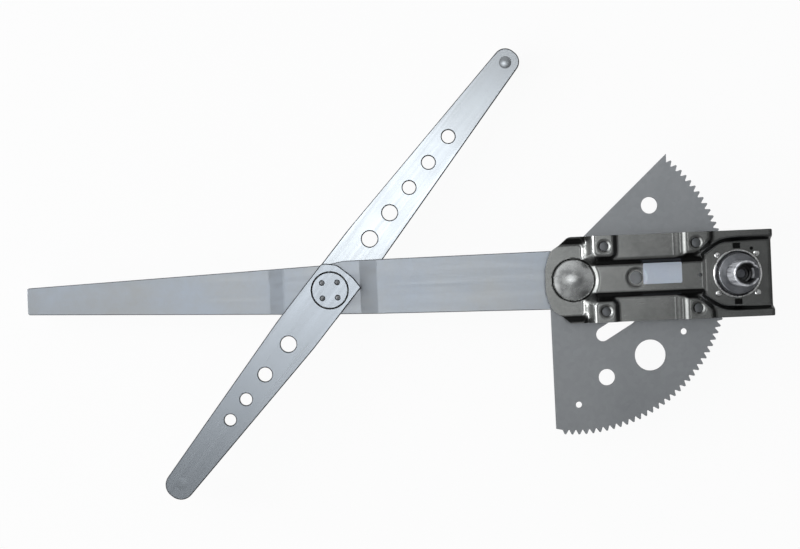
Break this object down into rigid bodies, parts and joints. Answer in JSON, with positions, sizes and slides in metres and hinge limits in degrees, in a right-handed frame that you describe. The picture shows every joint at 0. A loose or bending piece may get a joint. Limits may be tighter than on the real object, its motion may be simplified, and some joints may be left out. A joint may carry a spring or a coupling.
{
  "type": "window regulator",
  "caption": "Hand-cranked window regulator with crossed arms: pressed base plate, toothed sector, lift arm, equalizer arm, rollers and a braked crank socket.",
  "frame": {"origin": "centre of the four-bolt pattern in the plane of the raised bolt pads that meet the door's inner panel", "axes": "+Z along the crank axis towards the crank handle, +X from the main pivot towards the crank"},
  "size_m": [0.5908, 0.3483, 0.0626],
  "materials": {
    "plate_steel": "yellow-passivated zinc, warm grey, satin",
    "pin_steel": "zinc plated, satin",
    "washer_steel": "zinc plated",
    "nylon": "natural nylon",
    "roller_nylon": "natural nylon",
    "drum_steel": "dark bright steel",
    "rivet_steel": "zinc plated",
    "bronze": "sintered bronze",
    "arm_steel": "galvanized sheet, spangled, satin",
    "sector_steel": "galvanized sheet, grey",
    "equalizer_steel": "bright galvanized sheet",
    "socket_chrome": "dark bright steel",
    "spring_steel": "oiled spring steel",
    "pinion_steel": "hardened steel, oiled"
  },
  "bodies": {
    "base": {"base_plate": "plate_steel", "pivot_pin": "pin_steel", "pivot_washer_front": "nylon", "brake_drum": "drum_steel", "drum_rivets": "rivet_steel", "pinion_bracket": "plate_steel", "shaft_bearing": "bronze"},
    "lift": {"lift_arm": "arm_steel", "sector_gear": "sector_steel", "sector_rivets": "rivet_steel", "pivot_washer_rear": "washer_steel", "centre_bush_front": "nylon", "centre_bush_rear": "nylon", "lift_roller_pin": "rivet_steel"},
    "equalizer": {"equalizer_front_half": "equalizer_steel", "equalizer_rear_half": "equalizer_steel", "centre_hub": "equalizer_steel", "upper_roller_pin": "rivet_steel", "lower_roller_pin": "rivet_steel"},
    "crank": {"crank_socket": "socket_chrome", "crank_shaft": "socket_chrome", "shaft_circlip": "spring_steel", "pinion": "pinion_steel", "brake_spring": "spring_steel"},
    "lift_roller_body": {"lift_roller": "roller_nylon"},
    "upper_roller_body": {"upper_roller": "roller_nylon"},
    "lower_roller_body": {"lower_roller": "roller_nylon"}
  },
  "joints": [
    {"name": "lift_pivot", "type": "hinge", "parent": "base", "child": "lift", "pos_m": [-0.0594, 0, -0.02], "axis": [0, 0, 1], "range_deg": [-45, 91]},
    {"name": "crank_turn", "type": "hinge", "parent": "base", "child": "crank", "pos_m": [0.06922, 0, -0.02], "axis": [0, 0, 1], "range_deg": [-1400, 695]},
    {"name": "equalizer_pivot", "type": "hinge", "parent": "lift", "child": "equalizer", "pos_m": [-0.2524, 0, -0.025], "axis": [0, 0, 1], "range_deg": [-42, 60]},
    {"name": "lift_roller_turn", "type": "hinge", "parent": "lift", "child": "lift_roller_body", "pos_m": [-0.4817, 0, -0.035], "axis": [0, 0, 1], "continuous": true},
    {"name": "upper_roller_turn", "type": "hinge", "parent": "equalizer", "child": "upper_roller_body", "pos_m": [-0.10532, 0.17591, -0.035], "axis": [0, 0, 1], "continuous": true},
    {"name": "lower_roller_turn", "type": "hinge", "parent": "equalizer", "child": "lower_roller_body", "pos_m": [-0.3762, -0.14806, -0.028], "axis": [0, 0, 1], "continuous": true}
  ],
  "couplings": [
    {"joint": "crank_turn", "follows": "lift_pivot", "ratio": -15.333}
  ]
}
